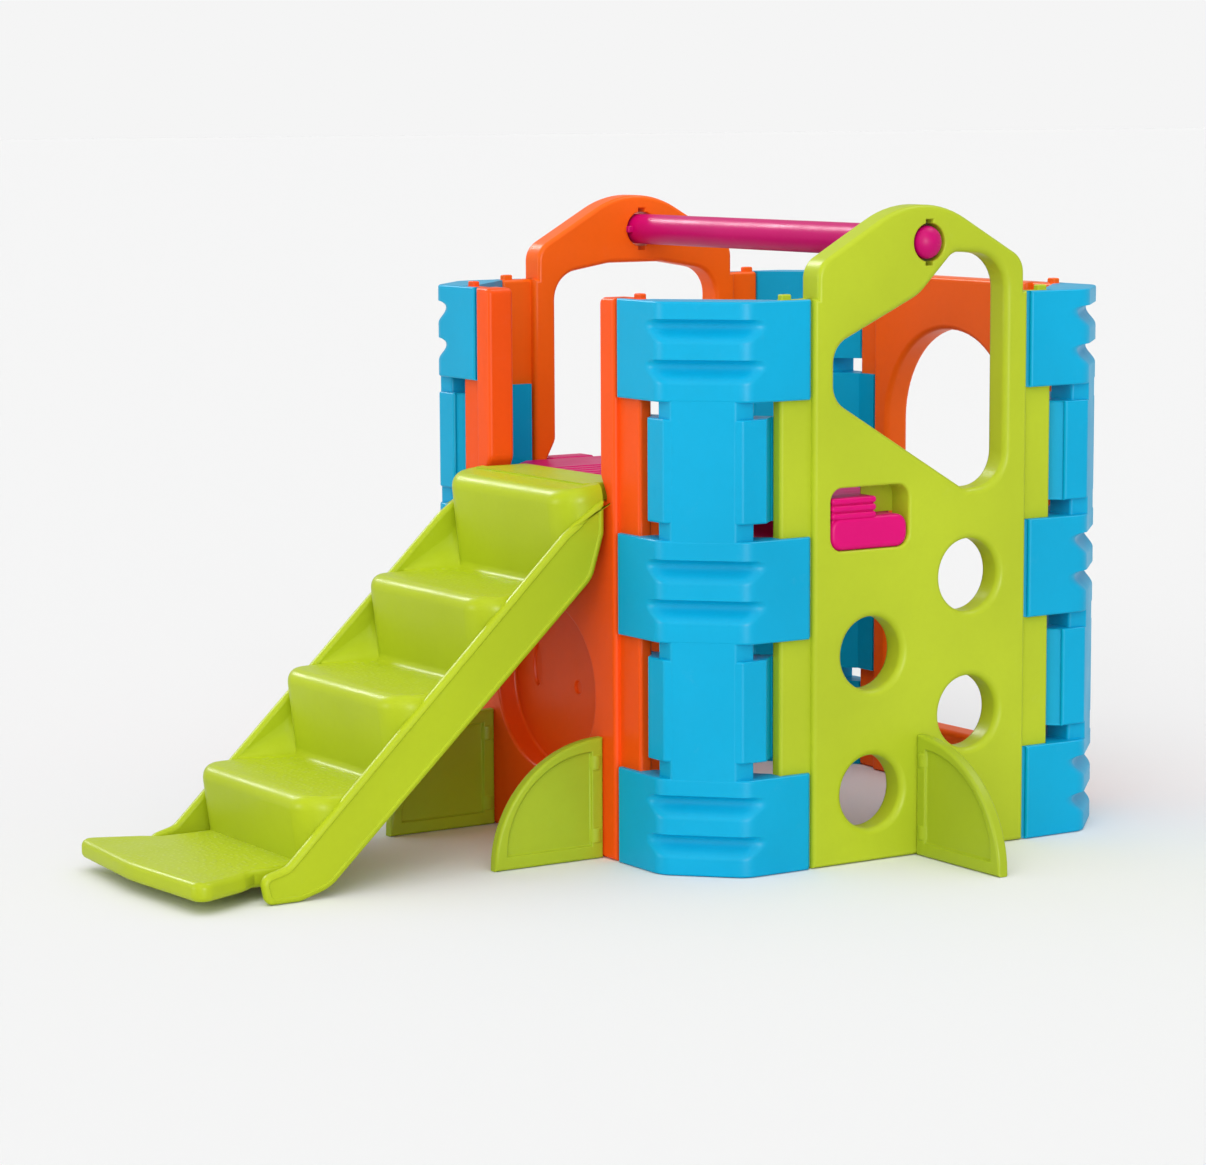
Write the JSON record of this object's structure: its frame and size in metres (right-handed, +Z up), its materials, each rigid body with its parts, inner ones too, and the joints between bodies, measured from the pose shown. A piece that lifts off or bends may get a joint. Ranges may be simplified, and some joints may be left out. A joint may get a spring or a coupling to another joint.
{
  "type": "slide playset",
  "caption": "Climbing playset of hollow moulded walls clipped between corner posts, with a stepped ramp hooked in a gate, a half deck, an overhead bar, a leaf-shaped opening and round holds",
  "frame": {"origin": "On the floor, under the middle of the object's overall bounding box", "axes": "+Z up. +Y points from the foot of the ramp to the back wall with the doorway. +X points out of the climbing wall with the leaf-shaped opening."},
  "size_m": [1.2906, 1.934, 1.2325],
  "materials": {
    "green_plastic": "satin lime green polyethylene",
    "blue_plastic": "satin sky blue polyethylene",
    "red_orange_plastic": "satin orange-red polyethylene",
    "orange_plastic": "satin orange polyethylene",
    "magenta_plastic": "satin magenta polyethylene"
  },
  "bodies": {
    "tower": {"ramp_wall": "red_orange_plastic", "climbing_wall": "green_plastic", "door_wall": "red_orange_plastic", "arch_wall": "orange_plastic", "door_climbing_post": "blue_plastic", "door_arch_post": "blue_plastic", "ramp_arch_post": "blue_plastic", "ramp_climbing_post": "blue_plastic", "deck": "magenta_plastic", "climbing_foot": "green_plastic", "ramp_foot_left": "green_plastic", "ramp_foot_right": "green_plastic"},
    "ramp": {"stepped_ramp": "green_plastic"},
    "bar": {"overhead_bar": "magenta_plastic"}
  },
  "joints": [
    {"name": "ramp_lift", "type": "hinge", "parent": "tower", "child": "ramp", "pos_m": [-0.12625, -0.013, 0.68], "axis": [-1, 0, 0], "range_deg": [0, 12]},
    {"name": "bar_turn", "type": "hinge", "parent": "tower", "child": "bar", "pos_m": [-0.12625, 0.461, 1.162], "axis": [1, 0, 0], "range_deg": [0, 90]}
  ]
}
